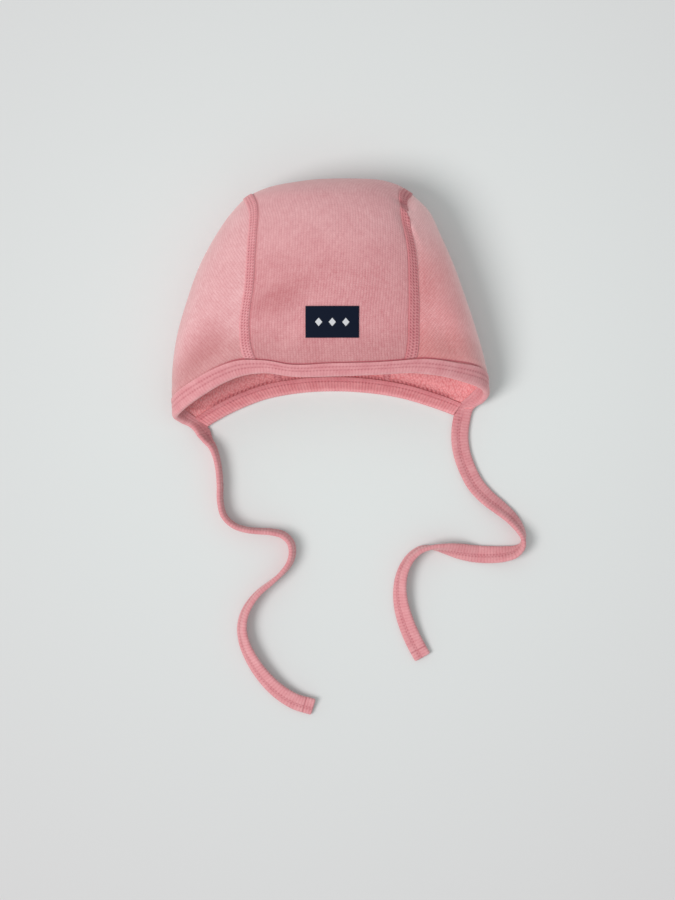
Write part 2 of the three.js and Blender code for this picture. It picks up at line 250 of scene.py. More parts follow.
def read(rows, at):
    """A table's columns at places along its first, on smooth curves and straight past its ends."""
    table = np.array(rows, float)
    keys, values = table[:, 0], table[:, 1:]
    spans = np.diff(keys)[:, None]
    rise = np.diff(values, axis=0) / spans
    inner = (rise[:-1] * spans[1:] + rise[1:] * spans[:-1]) / (spans[:-1] + spans[1:])
    slopes = np.vstack([rise[:1], inner, rise[-1:]])
    at = np.asarray(at, float)
    low = np.clip(np.searchsorted(keys, at) - 1, 0, len(keys) - 2)
    span = spans[low]
    u = (at - keys[low])[..., None] / span
    past = u - np.clip(u, 0, 1)
    u = u - past
    start, end = values[low], values[low + 1]
    curve = (2 * u**3 - 3 * u**2 + 1) * start + (3 * u**2 - 2 * u**3) * end
    curve += span * ((u**3 - 2 * u**2 + u) * slopes[low] + (u**3 - u**2) * slopes[low + 1])
    return curve + past * span * np.where(past < 0, rise[0], rise[-1])


def smooth_step(value, start, end):
    """0 before the start and 1 past the end, with an even change between."""
    share = np.clip((value - start) / (end - start), 0, 1)
    return share * share * (3 - 2 * share)


def face_along(angle):
    """Place on Y of the face edge, at an angle round the opening."""
    return read(FACE_EDGE, np.where(angle > NAPE_FROM, angle - 360, angle))[..., 0]


def nape_along(angle):
    """The same of the neck edge."""
    return read(NAPE_EDGE, np.where(angle < 90, angle + 360, angle))[..., 0]


def cloth_along(angle):
    """Where the cloth's own edge line lies: square at the ear tips."""
    tip = np.where((angle > 90) & (angle < NAPE_FROM), *EAR_TIPS)
    face, nape = face_along(angle), nape_along(angle)
    at_nape = (angle > NAPE_FROM) | (angle < NAPE_TO)
    below = np.where(at_nape, nape, np.maximum(np.maximum(face, nape), tip))
    return np.where((angle > FACE_FROM) & (angle < FACE_TO), face, below)


def dent_depth(x, y):
    """How far all the dents together lower the top at a place."""
    depth = 0
    for middle_x, middle_y, length, breadth, turn, deep in DENTS:
        cos, sin = math.cos(math.radians(turn)), math.sin(math.radians(turn))
        along = ((x - middle_x) * cos + (y - middle_y) * sin) / length
        across = ((y - middle_y) * cos - (x - middle_x) * sin) / breadth
        depth = depth + deep * np.exp(-(along**2) - across**2)
    return depth


def form_point(side, way, edge_along):
    """Points of the cloth's outer face from their places on a disc seen from the crown."""
    share = np.hypot(side, way)
    angle = np.degrees(np.arctan2(way, side))
    from_fold = np.radians(np.minimum(abs(angle), 180 - abs(angle)))
    along, middle, half, fold, rise, base, corner = np.moveaxis(read(SECTIONS, share), -1, 0)
    x = middle + half * np.cos(np.radians(angle))
    edge = edge_along(np.where(angle < -90, angle + 360, angle))
    y = along + (edge - EDGE_PLANE) * share**EDGE_POWER
    under = np.sin(np.minimum(math.pi / 2, from_fold * corner))
    floor = np.maximum(0, base) + LEG_RISE * smooth_step(share, *LIFT)
    fullness = SHOULDER * np.minimum(share, 1)
    arch = (np.sin(from_fold) + fullness * np.sin(3 * from_fold)) / (1 - fullness)
    top = fold + rise * arch - dent_depth(x, y) * np.minimum(1, arch / DENT_RIM)
    z = np.where(way < 0, fold + (floor - fold) * under, top)
    return np.stack([x, y, z], -1)


def unit(vectors):
    return vectors / np.linalg.norm(vectors, axis=-1, keepdims=True)


def form_slopes(side, way, edge_along):
    """How a point of the form moves with side and with way."""
    step = SLOPE_STEP
    across = form_point(side + step, way, edge_along) - form_point(side - step, way, edge_along)
    up = form_point(side, way + step, edge_along) - form_point(side, way - step, edge_along)
    return across / (2 * step), up / (2 * step)


def form_normal(side, way, edge_along):
    """The way out of the cloth."""
    across, up = form_slopes(side, way, edge_along)
    return unit(np.cross(up, across))


def shaped_grid(columns, rows, place):
    """A grid whose corners a function places, given their shares across and along. The
    function also gives each corner's three marks and its edge value, which the materials read."""
    bm = bmesh.new()
    bmesh.ops.create_grid(bm, x_segments=columns, y_segments=rows, size=0.5)
    shares = np.array([v.co for v in bm.verts])[:, :2] + 0.5
    order = np.lexsort((shares[:, 0], shares[:, 1]))
    across, along = shares[order].T.reshape(2, rows + 1, columns + 1)
    points, marks = place(across, along)
    three = bm.verts.layers.float_vector.new("marks")
    edge = bm.verts.layers.float.new("edge")
    bm.verts.ensure_lookup_table()
    places, values = points.reshape(-1, 3).tolist(), marks.reshape(-1, 4).tolist()
    for k, point, mark in zip(order.tolist(), places, values):
        bm.verts[k].co = [c * MM for c in point]
        bm.verts[k][three] = mark[:3]
        bm.verts[k][edge] = mark[3]
    return bm


def finished(bm, name, materials, slot, *nodes):
    """The piece of that mesh, which rides on the hat and stands for these solids."""
    mesh = bpy.data.meshes.new(name)
    bm.to_mesh(mesh)
    bm.free()
    mesh.shade_smooth()
    for material in materials:
        mesh.materials.append(material)
    piece = bpy.data.objects.new(name, mesh)
    bpy.context.scene.collection.objects.link(piece)
    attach(piece, "root")
    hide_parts(*nodes)
    return piece


def run(points, axis):
    """Lengths run along one way of a grid of points, from its start."""
    steps = np.linalg.norm(np.diff(points, axis=axis), axis=-1)
    start = np.zeros_like(np.take(steps, [0], axis))
    return np.concatenate([start, np.cumsum(steps, axis)], axis)


def on_cloth(way, angle):
    """Disc places of the cloth from the way along a panel and the angle across the hat."""
    reach = 1 - EDGE_INSET / CROWN_TO_EDGE
    return np.cos(np.radians(angle)) * reach, way * np.sin(np.radians(angle)) * reach


def beside_seam(way, side, distance):
    """Disc places at a distance from a seam, into the side panel: side 0 is left, 1 right."""
    seam = read(SEAMS, way)[..., side]
    turn = 1 - 2 * side
    here = form_point(*on_cloth(way, seam), cloth_along)
    there = form_point(*on_cloth(way, seam + turn), cloth_along)
    speed = np.linalg.norm(there - here, axis=-1)
    return seam + turn * distance / speed


# Width of the front binding as it shows outside, by the angle round the opening.
LEG_WIDTHS = [
    (-40, 11),
    (10, 11.3),
    (29, 11.8),
    (43, 10.3),
    (54, 10.2),
    (64, 8.9),
    (73, 8.8),
    (92, 9),
    (100, 8.3),
    (107, 8.1),
    (116, 9.1),
    (122, 10.5),
    (135, 11),
    (230, 11),
]
BAND_WIDTH = 11.0  # and of the other bindings
NAPE_INNER = 9.2  # the nape binding's leg inside the hat
PUFF, PUFF_AT, PUFF_REACH = 0.5, 3.6, 2.3  # the cloth swells beside the binding,
CREASE, CREASE_AT, CREASE_REACH = 0.3, 0.3, 0.8  # dips where the binding is sewn on,
JOINT_DIP, JOINT_REACH = 0.2, 1.0  # and dips at the joints
JOINT_LAP = 0.4  # how far the centre panel runs on under the side panels
CENTRE_COLUMNS, CENTRE_ROWS = 84, 320


def leg_width(angle):
    return read(LEG_WIDTHS, angle)[..., 0]


def past_binding(side, way):
    """How far places of the cloth lie past the edge of their binding."""
    share = np.hypot(side, way) + 1e-9
    across, up = form_slopes(side, way, cloth_along)
    aa, au, uu = (across * across).sum(-1), (across * up).sum(-1), (up * up).sum(-1)
    s, w = side / share, way / share
    steepness = np.sqrt(abs(uu * s * s - 2 * au * s * w + aa * w * w) / (aa * uu - au * au))
    width = np.where(way > 0, leg_width(np.degrees(np.arctan2(way, side))), NAPE_INNER)
    return (1 - share) / steepness - width


def sewn_lift(past):
    """How far the cloth rises and sinks beside the binding's edge."""
    puff = PUFF * np.exp(-(((past - PUFF_AT) / PUFF_REACH) ** 2))
    return puff - CREASE * np.exp(-(((past - CREASE_AT) / CREASE_REACH) ** 2))


def raised(points, disc, height):
    """Points moved off the form by a height, but never below the surface that it lies on."""
    points = points + form_normal(*disc, cloth_along) * height[..., None]
    points[..., 2] = np.maximum(points[..., 2], 0)
    return points


def centre_place(across, along):
    way = 2 * along - 1
    right, left = beside_seam(way, 1, JOINT_LAP), beside_seam(way, 0, JOINT_LAP)
    disc = on_cloth(way, right + (left - right) * across)
    points = form_point(*disc, cloth_along)
    rows = run(points, 1)
    from_seam = np.minimum(rows, rows[:, -1:] - rows)
    past = past_binding(*disc)
    lift = sewn_lift(past) - JOINT_DIP * np.exp(-((from_seam / JOINT_REACH) ** 2))
    middle = points.shape[1] // 2
    length = run(points, 0)[:, middle : middle + 1] + 0 * rows
    marks = np.stack([rows - rows[:, middle : middle + 1], length, from_seam, past], -1)
    return raised(points, disc, lift), marks


def corner_marks(tree):
    """What a piece's corners carry: their marks, whole and one by one, and their edge value."""
    marks = add_node(tree, "ShaderNodeAttribute", attribute_name="marks")
    edge = add_node(tree, "ShaderNodeAttribute", attribute_name="edge")
    cut = add_node(tree, "ShaderNodeSeparateXYZ", {0: marks.outputs["Vector"]})
    return marks.outputs["Vector"], *cut.outputs, edge.outputs["Fac"]


def lines_at(tree, distance, middle, reach):
    """A soft line: 1 where a distance is at its middle, and 0 a reach away."""
    off = add_node(tree, "ShaderNodeMath", {0: distance, 1: middle}, operation="SUBTRACT")
    far = add_node(tree, "ShaderNodeMath", {0: off.outputs[0]}, operation="ABSOLUTE")
    line = add_node(
        tree,
        "ShaderNodeMapRange",
        {"Value": far.outputs[0], "From Min": 0.0, "From Max": reach, "To Min": 1.0, "To Max": 0.0},
        interpolation_type="SMOOTHSTEP",
    )
    return line.outputs[0]


def weighed(tree, *parts):
    """The sum of outputs, each times its weight."""
    total = 0.0
    for output, weight in parts:
        product = {0: output, 1: weight, 2: total}
        total = add_node(tree, "ShaderNodeMath", product, operation="MULTIPLY_ADD").outputs[0]
    return total


def dyed(tree, ground, *dyes):
    """A ground colour with others laid over it in turn, each by its share and way of mixing."""
    colour = linear(ground)
    for share, way, dye in dyes:
        mix = add_node(
            tree,
            "ShaderNodeMix",
            {"Factor": share, 6: colour, 7: linear(dye)},
            data_type="RGBA",
            blend_type=way,
        )
        colour = mix.outputs[2]
    return colour


def cloth_face(tree, colour, height, bump, sheen):
    """Brushed cotton's surface: rough, hardly shiny, with a pale fuzz that shows at a slant."""
    relief = add_node(tree, "ShaderNodeBump", {"Height": height, "Distance": bump * MM, "Strength": 0.7})
    face = add_node(
        tree,
        "ShaderNodeBsdfPrincipled",
        {
            "Base Color": colour,
            "Roughness": 0.92,
            "Specular IOR Level": 0.12,
            "Sheen Weight": sheen,
            "Sheen Roughness": 0.5,
            "Sheen Tint": linear("#ffe9e6"),
            "Normal": relief.outputs[0],
        },
    )
    add_node(tree, "ShaderNodeOutputMaterial", {"Surface": face.outputs[0]})


# Cotton interlock: fine columns of stitches (wales), drawn about twice as wide as the real 0.9 mm so that
# they show, with a soft brushed face that whitens at a slant. It is deeper in colour towards the binding,
# painted shade, and along a soft fold, painted shade given by the last argument as x, y, turn, half
# length, half breadth and strength. It is paler down the sides and at the crown, a painted sheen.
WALE, COURSE = 1.75, 1.4


def cotton_interlock(name, deep, pale, binding_shade, painted_side_sheen, painted_crown_sheen, sheen, fold_shade):
    material, tree = new_material(name)
    marks, aside, along, from_seam, past = corner_marks(tree)
    place = add_node(tree, "ShaderNodeTexCoord")
    on_hat = add_node(tree, "ShaderNodeSeparateXYZ", {0: place.outputs["Object"]})
    waver = add_node(
        tree,
        "ShaderNodeTexNoise",
        {"Vector": marks, "Scale": 0.09, "Detail": 2.0},
        noise_dimensions="2D",
    )
    shifted = weighed(tree, (waver.outputs["Fac"], 0.8 / WALE), (aside, 1 / WALE))
    wale = add_node(tree, "ShaderNodeMath", {0: shifted}, operation="FLOOR")
    in_wale = add_node(tree, "ShaderNodeMath", {0: shifted}, operation="FRACT")
    centred = add_node(tree, "ShaderNodeMath", {0: in_wale.outputs[0], 1: 0.5}, operation="SUBTRACT")
    off_rib = add_node(tree, "ShaderNodeMath", {0: centred.outputs[0]}, operation="ABSOLUTE")
    turns = weighed(tree, (along, math.tau / COURSE), (off_rib.outputs[0], math.tau))
    loops = add_node(tree, "ShaderNodeMath", {0: turns}, operation="SINE")
    groove = add_node(tree, "ShaderNodeMath", {0: off_rib.outputs[0], 1: 2.0}, operation="MULTIPLY")
    deepness = add_node(tree, "ShaderNodeMath", {0: groove.outputs[0], 1: 2.0}, operation="POWER")
    ridge = add_node(tree, "ShaderNodeMath", {0: 1.0, 1: deepness.outputs[0]}, operation="SUBTRACT")
    loop = add_node(
        tree, "ShaderNodeMath", {0: loops.outputs[0], 1: 0.3, 2: 0.7}, operation="MULTIPLY_ADD"
    )
    stitch = add_node(
        tree, "ShaderNodeMath", {0: ridge.outputs[0], 1: loop.outputs[0]}, operation="MULTIPLY"
    )
    slow = add_node(tree, "ShaderNodeMath", {0: along, 1: 0.16}, operation="MULTIPLY")
    spot = add_node(tree, "ShaderNodeCombineXYZ", {0: wale.outputs[0], 1: slow.outputs[0]})
    each = add_node(
        tree,
        "ShaderNodeTexNoise",
        {"Vector": spot.outputs[0], "Scale": 1.7, "Detail": 1.0},
        noise_dimensions="2D",
    )
    fuzz = add_node(
        tree,
        "ShaderNodeTexNoise",
        {"Vector": marks, "Scale": 1.1, "Detail": 2.0, "Roughness": 0.6},
        noise_dimensions="2D",
    )
    patch = add_node(
        tree,
        "ShaderNodeTexNoise",
        {"Vector": marks, "Scale": 0.06, "Detail": 1.0},
        noise_dimensions="2D",
    )
    shade = weighed(
        tree,
        (each.outputs["Fac"], 0.36),
        (stitch.outputs[0], 0.28),
        (fuzz.outputs["Fac"], 0.5),
        (patch.outputs["Fac"], 0.2),
    )
    tint = add_node(tree, "ShaderNodeMapRange", {"Value": shade, "From Min": 0.34, "From Max": 0.98})
    # Painted shade: deeper in colour within 6 to 24 mm of the binding's edge.
    low = add_node(
        tree,
        "ShaderNodeMapRange",
        {"Value": past, "From Min": 6.0, "From Max": 24.0, "To Min": 1.0, "To Max": 0.0},
        interpolation_type="SMOOTHSTEP",
    )
    # Painted shade along a soft fold of the cloth.
    x, y, turn, length, breadth, share = fold_shade
    at_fold = add_node(
        tree,
        "ShaderNodeMapping",
        {
            "Vector": place.outputs["Object"],
            "Location": (x * MM, y * MM, 0.0),
            "Rotation": (0.0, 0.0, math.radians(turn)),
            "Scale": (length * MM, breadth * MM, 1.0),
        },
        vector_type="TEXTURE",
    )
    off_fold = add_node(tree, "ShaderNodeVectorMath", {0: at_fold.outputs[0]}, operation="LENGTH")
    fold = add_node(
        tree,
        "ShaderNodeMapRange",
        {
            "Value": off_fold.outputs["Value"],
            "From Min": 0.1,
            "From Max": 1.0,
            "To Min": share,
            "To Max": 0.0,
        },
        interpolation_type="SMOOTHSTEP",
    )
    # Painted sheen: paler low down the sides and towards the crown.
    down = add_node(
        tree,
        "ShaderNodeMapRange",
        {
            "Value": on_hat.outputs[2],
            "From Min": 0.022,
            "From Max": 0.046,
            "To Min": painted_side_sheen,
            "To Max": 0.0,
        },
        interpolation_type="SMOOTHSTEP",
    )
    up = add_node(
        tree,
        "ShaderNodeMapRange",
        {
            "Value": on_hat.outputs[1],
            "From Min": 0.015,
            "From Max": 0.055,
            "To Min": 0.0,
            "To Max": painted_crown_sheen,
        },
        interpolation_type="SMOOTHSTEP",
    )
    painted_sheen = add_node(
        tree, "ShaderNodeMath", {0: down.outputs[0], 1: up.outputs[0]}, operation="MAXIMUM"
    )
    joint = lines_at(tree, from_seam, 0.0, 1.8)
    # Painted shade: a deep pink line in the crease where the binding is sewn on, fading out at the far
    # left.
    sewn = lines_at(tree, past, 0.4, 1.0)
    slack = add_node(
        tree, "ShaderNodeMapRange", {"Value": on_hat.outputs[0], "From Min": -0.08, "From Max": -0.058}
    )
    tight = add_node(tree, "ShaderNodeMath", {0: sewn, 1: slack.outputs[0]}, operation="MULTIPLY")
    colour = dyed(
        tree,
        deep,
        (tint.outputs[0], "MIX", pale),
        (low.outputs[0], "MULTIPLY", binding_shade),
        (fold.outputs[0], "MULTIPLY", "#ecdcdd"),
        (painted_sheen.outputs[0], "MIX", "#ffe3e6"),
        (weighed(tree, (joint, 0.5)), "MIX", "#c0656f"),
        (weighed(tree, (tight.outputs[0], 0.8)), "MIX", "#b85060"),
    )
    height = weighed(tree, (fuzz.outputs["Fac"], 0.8), (stitch.outputs[0], 1.0))
    cloth_face(tree, colour, height, 0.25, sheen)
    return material


CENTRE_FOLD_SHADE = (-33, 3, 24, 32, 14, 0.75)
centre_knit = cotton_interlock(
    "cotton_interlock_centre", "#cb7c83", "#e9aeb1", "#f2f0ef", 0.1, 0.13, 0.5, CENTRE_FOLD_SHADE
)

# The same cloth's inside: small uncut loops, deeper in colour because light is caught between them. They
# are under 1 mm in such cloth, and are drawn 1.5 mm across so that they show. A row of tight stitches
# follows the binding's edge, drawn as a dark dotted line, painted shade where the stitches sink in.
loop_back, tree = new_material("cotton_loop_back")
marks, aside, _, _, past = corner_marks(tree)
loops = add_node(
    tree,
    "ShaderNodeTexVoronoi",
    {"Vector": marks, "Scale": 0.7, "Randomness": 0.8},
    voronoi_dimensions="2D",
)
fuzz = add_node(
    tree,
    "ShaderNodeTexNoise",
    {"Vector": marks, "Scale": 0.9, "Detail": 3.0},
    noise_dimensions="2D",
)
curled = add_node(
    tree,
    "ShaderNodeMapRange",
    {"Value": loops.outputs["Distance"], "From Min": 0.1, "From Max": 0.75, "To Min": 1.0, "To Max": 0.0},
)
shade = weighed(tree, (curled.outputs[0], 0.7), (fuzz.outputs["Fac"], 0.5))
beat = add_node(tree, "ShaderNodeMath", {0: aside, 1: math.tau / 2.1}, operation="MULTIPLY")
dots = add_node(tree, "ShaderNodeMath", {0: beat.outputs[0]}, operation="SINE")
row = lines_at(tree, past, 0.5, 1.3)
tight = add_node(tree, "ShaderNodeMath", {0: dots.outputs[0], 1: 0.25, 2: 0.5}, operation="MULTIPLY_ADD")
place = add_node(tree, "ShaderNodeTexCoord")
on_hat = add_node(tree, "ShaderNodeSeparateXYZ", {0: place.outputs["Object"]})
off_middle = add_node(tree, "ShaderNodeMath", {0: on_hat.outputs[0]}, operation="ABSOLUTE")
between = add_node(
    tree,
    "ShaderNodeMapRange",
    {"Value": off_middle.outputs[0], "From Min": 0.072, "From Max": 0.078, "To Min": 1.0, "To Max": 0.0},
)
nape_row = add_node(tree, "ShaderNodeMath", {0: row, 1: between.outputs[0]}, operation="MULTIPLY")
stitched = add_node(
    tree, "ShaderNodeMath", {0: nape_row.outputs[0], 1: tight.outputs[0]}, operation="MULTIPLY"
)
colour = dyed(
    tree, "#e47d82", (shade, "MIX", "#ffb5b8"), (stitched.outputs[0], "MIX", "#a33f4d")
)
cloth_face(tree, colour, shade, 0.35, 0.2)


def walled(piece):
    """Gives a panel its thickness, inwards, with the looped back as its inner face."""
    wall = piece.modifiers.new("wall", "SOLIDIFY")
    wall.thickness = WALL * MM
    wall.offset = -1
    wall.material_offset = 1
    wall.material_offset_rim = 1


bm = shaped_grid(CENTRE_COLUMNS, CENTRE_ROWS, centre_place)
centre_cloth = finished(bm, "centre_cloth", [centre_knit, loop_back], "cotton_knit", "centre_panel")
walled(centre_cloth)

# ---- Side panels ----
# Two D-shaped sides of the same knit, cut aslant, so that its wales cross them. Each is lapped
# over the centre panel and covered with a flat seam.

SIDE_COLUMNS, SIDE_ROWS = 96, 300
BAND_SPAN, BAND_COLUMNS = 9.0, 22  # finer columns beside the seam
HALF_JOINT = 0.02
FAR_AWAY = 99  # added to distances from the seam past its finer columns
GRAIN = 38  # degrees that the wales lean outwards
ARC_STEPS = 16


def side_place(side):
    """What places the corners of a side panel: side 0 is left, 1 right."""
    ear = 180 * (1 - side)  # angle of its fold

    def round_hat(share, angle, upper):
        """Distances along the top from its middle line, at a constant share."""
        steps = np.linspace(0, 1, ARC_STEPS + 1)[:, None, None]
        turned = np.radians(90 + (angle - 90) * steps)
        disc = share * np.cos(turned), upper * share * np.sin(turned)
        return run(form_point(*disc, cloth_along), 0)[-1]

    def place(across, along):
        way = 2 * along - 1
        step = (1 - across if side else across) * SIDE_COLUMNS
        near = np.minimum(step / BAND_COLUMNS, 1) * BAND_SPAN
        far = np.clip((step - BAND_COLUMNS) / (SIDE_COLUMNS - BAND_COLUMNS), 0, 1)
        angle = beside_seam(way, side, near + HALF_JOINT)
        angle = angle + (ear - angle) * far
        disc = on_cloth(way, angle)
        points = form_point(*disc, cloth_along)
        share = np.hypot(*disc)
        angle = np.degrees(np.arctan2(abs(disc[1]), disc[0]))
        above = round_hat(share, angle, 1)
        under = 2 * round_hat(share, 0 * angle + ear, 1) - round_hat(share, angle, 1)
        u = np.where(way < 0, under, above) * (1 - 2 * side)
        v = share * CROWN_TO_EDGE
        grain = math.radians(GRAIN * (2 * side - 1))
        past = past_binding(*disc)
        u, v = u * math.cos(grain) - v * math.sin(grain), u * math.sin(grain) + v * math.cos(grain)
        marks = np.stack([u, v, near + FAR_AWAY * (near >= BAND_SPAN), past], -1)
        return raised(points, disc, sewn_lift(past)), marks

    return place


LEFT_FOLD_SHADE, RIGHT_FOLD_SHADE = (-79, -26, 53, 36, 15, 1.0), (57, 7, 80, 26, 9, 0.4)
# Which side, then what cotton_interlock takes after the name. Both sides are the centre's knit: the
# left's paler colours are a painted sheen where it faces the light, and the right's brighter, redder ones
# are painted light that lifts its shade.
SIDE_KNITS = (
    ("left", "#d89499", "#f2c0c3", "#ede3e1", 0.04, 0.0, 0.6, LEFT_FOLD_SHADE),
    ("right", "#e3868a", "#ffb9bc", "#e8dfdc", 0.3, 0.32, 1.0, RIGHT_FOLD_SHADE),
)
for side, (name, *dyes) in enumerate(SIDE_KNITS):
    knit = cotton_interlock("cotton_interlock_" + name, *dyes)
    bm = shaped_grid(SIDE_COLUMNS, SIDE_ROWS, side_place(side))
    bmesh.ops.remove_doubles(bm, verts=bm.verts, dist=1e-7)
    cloth = finished(bm, name + "_cloth", [knit, loop_back], "cotton_knit", "side_panel_" + name)
    walled(cloth)

# ---- Seam bands ----
# The cover seams, each a raised band of thread beside its joint: needle threads in rows, and
# cover threads that cross between them. A flatter one runs over the joint inside the hat.

BAND_RISE, INNER_RISE = 0.75, 0.35  # outside and inside the hat
BAND_SINK, BAND_LOW = 0.3, 0.4  # its borders and underside lie in the cloth
BAND_RING = 0.29  # from one ring of corners to the next
BAND_TRACK = 1500  # steps that its length is measured in
BAND_END = -0.2  # it starts this far under the binding
INNER_BORDER, OUTER_BORDER = 0.9, 1.3  # widths over which it rises from the cloth
# Painted shade along the band's two borders, over this width.
BORDER_SHADE_WIDTH = 0.9
THREAD_WIDTH, THREAD_RISE = 0.45, 0.22  # rise as a share of the band's own
# Painted light and shade on the threads: pale on them, deeper between them.
VALLEY = 0.25  # how pale it is between threads, against 1 on them
# Needle holes, drawn dark as painted shade.
HOLE_WIDTH, HOLE_DEPTH, HOLE_SHADE = 0.55, 0.4, 0.8
# Painted shade in the crease where the binding is sewn over the band.
SEWN_AT, SEWN_WIDTH, SEWN_SHADE = 0.5, 0.6, 0.8  # where the binding is sewn over it
# The right band is pinched in a hollow near the crown: x, y, reach, how dark it is there, painted shade
# in the hollow, and how flat it is there.
PINCH, PINCH_REACH, PINCH_SHADE, PINCH_FLAT = (42.0, 61.0), 5.5, 0.5, 0.3
# Below the hollow a fold of the side's cloth laps over its outer part: a point of the fold's
# lip, which way the lip runs, and where on Y the fold starts and ends.
LIP, LIP_TURN, LIP_SLOPE = (45.1, 58.6), math.radians(-66.6), (-0.4, 0.8)
LIP_BELOW, LIP_ABOVE = (38.0, 43.0), (56.0, 58.5)
# Past this range on Y, at the back of the crown, it lies deeper in the cloth.
SUNK, SUNK_SHARE = (69.0, 72.5), 0.5
LEFT_THREADS = ((0.4, 1.4, 0.4), (1.4, 3.2, -0.5), (3.2, 5.1, 0.5), (5.1, 6.8, -0.4))
RIGHT_THREADS = ((0.3, 1.2, -0.3), (1.2, 3.5, 0.9), (3.5, 5.8, -0.9), (5.8, 7.1, 0.3))
INSIDE_THREADS = ((1.5, 4.5, 0.5), (1.5, 4.5, -0.5))
# name, side, start and width of the band from its joint, how dark its two borders are, painted shade
# beside its raised edges, pitch, needle rows, and the cover threads: from and to across the band, and
# pitches they run on.
BANDS = (
    ("left_seam", 0, 0.0, 7.6, 0.35, 0.0, 1.85, (1.4, 3.2, 5.1), LEFT_THREADS),
    ("right_seam", 1, 0.0, 7.9, 0.3, 0.5, 1.95, (1.2, 3.5, 5.8), RIGHT_THREADS),
    ("left_seam_inside", 0, -3.0, 6.0, 0.2, 0.2, 1.9, (1.5, 4.5), INSIDE_THREADS),
    ("right_seam_inside", 1, -3.0, 6.0, 0.2, 0.2, 1.9, (1.5, 4.5), INSIDE_THREADS),
)


def from_nearest(turns):
    """How far numbers lie from the nearest whole one."""
    return turns - np.round(turns)


def seam_threads(across, along, pitch, needles, threads):
    """Heights of the cover threads, from 0 to 1, and depths of the needle holes."""
    ridge, holes = 0 * across, 0 * across
    for start, end, slant in threads:
        share = (across - start) / (end - start)
        off = from_nearest(along / pitch - slant * share) * pitch
        inside = smooth_step(share, -0.1, 0.1) * (1 - smooth_step(share, 0.9, 1.1))
        ridge = np.maximum(ridge, np.exp(-((off / THREAD_WIDTH) ** 2)) * inside)
    for row, needle in enumerate(needles):
        off = from_nearest(along / pitch - 0.5 * row + 0.25) * pitch
        aside = across - needle
        holes = np.maximum(holes, np.exp(-((aside / HOLE_WIDTH) ** 2) - (off / HOLE_WIDTH) ** 2))
    return ridge, holes


def seam_band(side, start, width, near, far, pitch, needles, threads):
    """Rings of one band, each open below, and their marks."""
    outside = start == 0
    columns, under = (26 if outside else 18), 4
    fine = np.linspace(-1, 1, BAND_TRACK)
    track = form_point(*on_cloth(fine, beside_seam(fine, side, 0)), cloth_along)
    lengths = run(track, 0)
    ends = past_binding(*on_cloth(fine, beside_seam(fine, side, 0))) > BAND_END
    first, last = lengths[ends][[0, -1]]
    along = np.linspace(first, last, round((last - first) / BAND_RING) + 1)[:, None]
    across = np.concatenate([np.linspace(0, width, columns), np.linspace(width, 0, under)])
    low = np.arange(len(across)) >= columns
    way = np.interp(along, lengths, fine) + 0 * across
    disc = on_cloth(way, beside_seam(way, side, start + across + 0 * along))
    past = past_binding(*disc)
    ridge, holes = seam_threads(across + 0 * along, along + 0 * across, pitch, needles, threads)
    full = smooth_step(across, 0, INNER_BORDER)
    full = full * (1 - smooth_step(across, width - OUTER_BORDER, width))
    base = form_point(*disc, cloth_along)
    x, y = base[..., 0], base[..., 1]
    pinch = np.exp(-(((base[..., :2] - PINCH) / PINCH_REACH) ** 2).sum(-1)) * outside
    beyond = (x - LIP[0]) * -math.sin(LIP_TURN) + (y - LIP[1]) * math.cos(LIP_TURN)
    lapped = smooth_step(y, *LIP_BELOW) * (1 - smooth_step(y, *LIP_ABOVE))
    covered = smooth_step(beyond, *LIP_SLOPE) * lapped
    sunk = smooth_step(y, *SUNK) * (x > 0)
    covered = np.maximum(covered, SUNK_SHARE * sunk) * outside
    full = full * smooth_step(past, BAND_END, 1.0) * (1 - covered)
    pressed = 1 - PINCH_FLAT * pinch
    thread = (BAND_RISE if outside else INNER_RISE) * (1 - THREAD_RISE * (1 - ridge))
    rise = full * pressed * (thread - HOLE_DEPTH * holes)
    rise = np.where(low, -BAND_LOW, rise - BAND_SINK * (1 - full))
    height = sewn_lift(past) + (rise if outside else -WALL - rise)
    points = raised(base, disc, height)
    crest = VALLEY + (1 - VALLEY) * ridge
    near_shade = near * np.exp(-((across / BORDER_SHADE_WIDTH) ** 2))
    far_shade = far * np.exp(-(((width - across) / BORDER_SHADE_WIDTH) ** 2))
    sewn = SEWN_SHADE * np.exp(-(((past - SEWN_AT) / SEWN_WIDTH) ** 2)) * outside
    dark = np.maximum(HOLE_SHADE * holes, near_shade + far_shade)
    dark = np.maximum(np.maximum(dark, sewn), PINCH_SHADE * pinch**2)
    marks = np.stack([along + 0 * across, across + 0 * along, crest, dark], -1)
    return points, marks


def strip_piece(points, marks, name, material, slot, *nodes):
    """A closed strip from its rings, with flat ends that keep a sharp border."""
    points = np.concatenate([points, points[:, :1]], 1)
    marks = np.concatenate([marks, marks[:, :1]], 1)
    rings, around = points.shape[:2]
    bm = shaped_grid(around - 1, rings - 1, lambda across, along: (points, marks))
    bmesh.ops.remove_doubles(bm, verts=bm.verts, dist=1e-8)
    open_ends = [e for e in bm.edges if e.is_boundary]
    for face in bmesh.ops.holes_fill(bm, edges=open_ends, sides=0)["faces"]:
        for border in face.edges:
            border.smooth = False
    bmesh.ops.recalc_face_normals(bm, faces=bm.faces)
    return finished(bm, name, [material], slot, *nodes)


